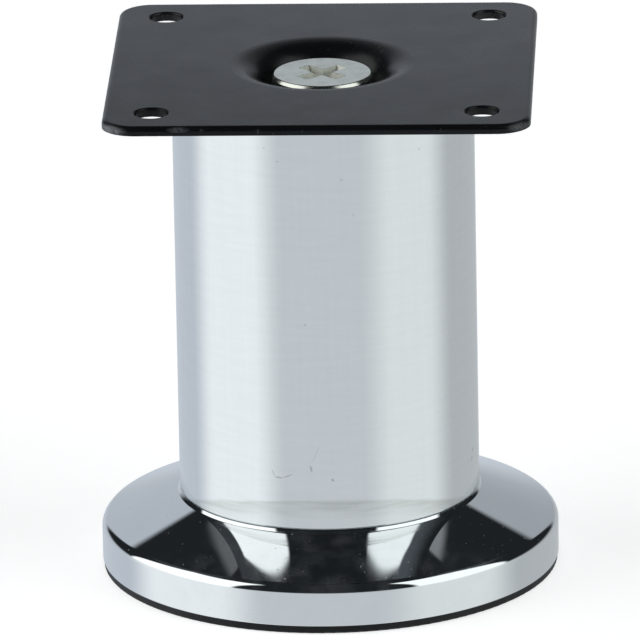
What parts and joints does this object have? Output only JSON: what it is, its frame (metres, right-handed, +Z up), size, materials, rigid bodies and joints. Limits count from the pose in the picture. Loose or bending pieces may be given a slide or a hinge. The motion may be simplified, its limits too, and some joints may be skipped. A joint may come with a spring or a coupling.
{
  "type": "furniture leg",
  "caption": "Short round chromed steel leg with a flared base and plastic foot pad, clamped by a sunk screw under a black dished plate with corner holes for wood screws.",
  "frame": {"origin": "on the floor under the leg's axis", "axes": "+Z up the leg's axis, X and Y along the sides of the mounting plate"},
  "size_m": [0.0762, 0.0762, 0.0865],
  "materials": {
    "black_coating": "satin black coating on sheet steel",
    "zinc_plating": "bright zinc plating",
    "tube_chrome": "chrome plating on drawn tube, slightly hazy",
    "base_chrome": "mirror chrome plating",
    "bare_steel": "oiled bare steel",
    "black_plastic": "moulded black plastic, matt"
  },
  "bodies": {
    "root": {"mounting_plate": "black_coating", "clamp_screw": "zinc_plating", "leg_tube": "tube_chrome", "nut_cup": "bare_steel", "weld_nut": "bare_steel", "base_skirt": "base_chrome", "foot_pad": "black_plastic"}
  },
  "joints": []
}
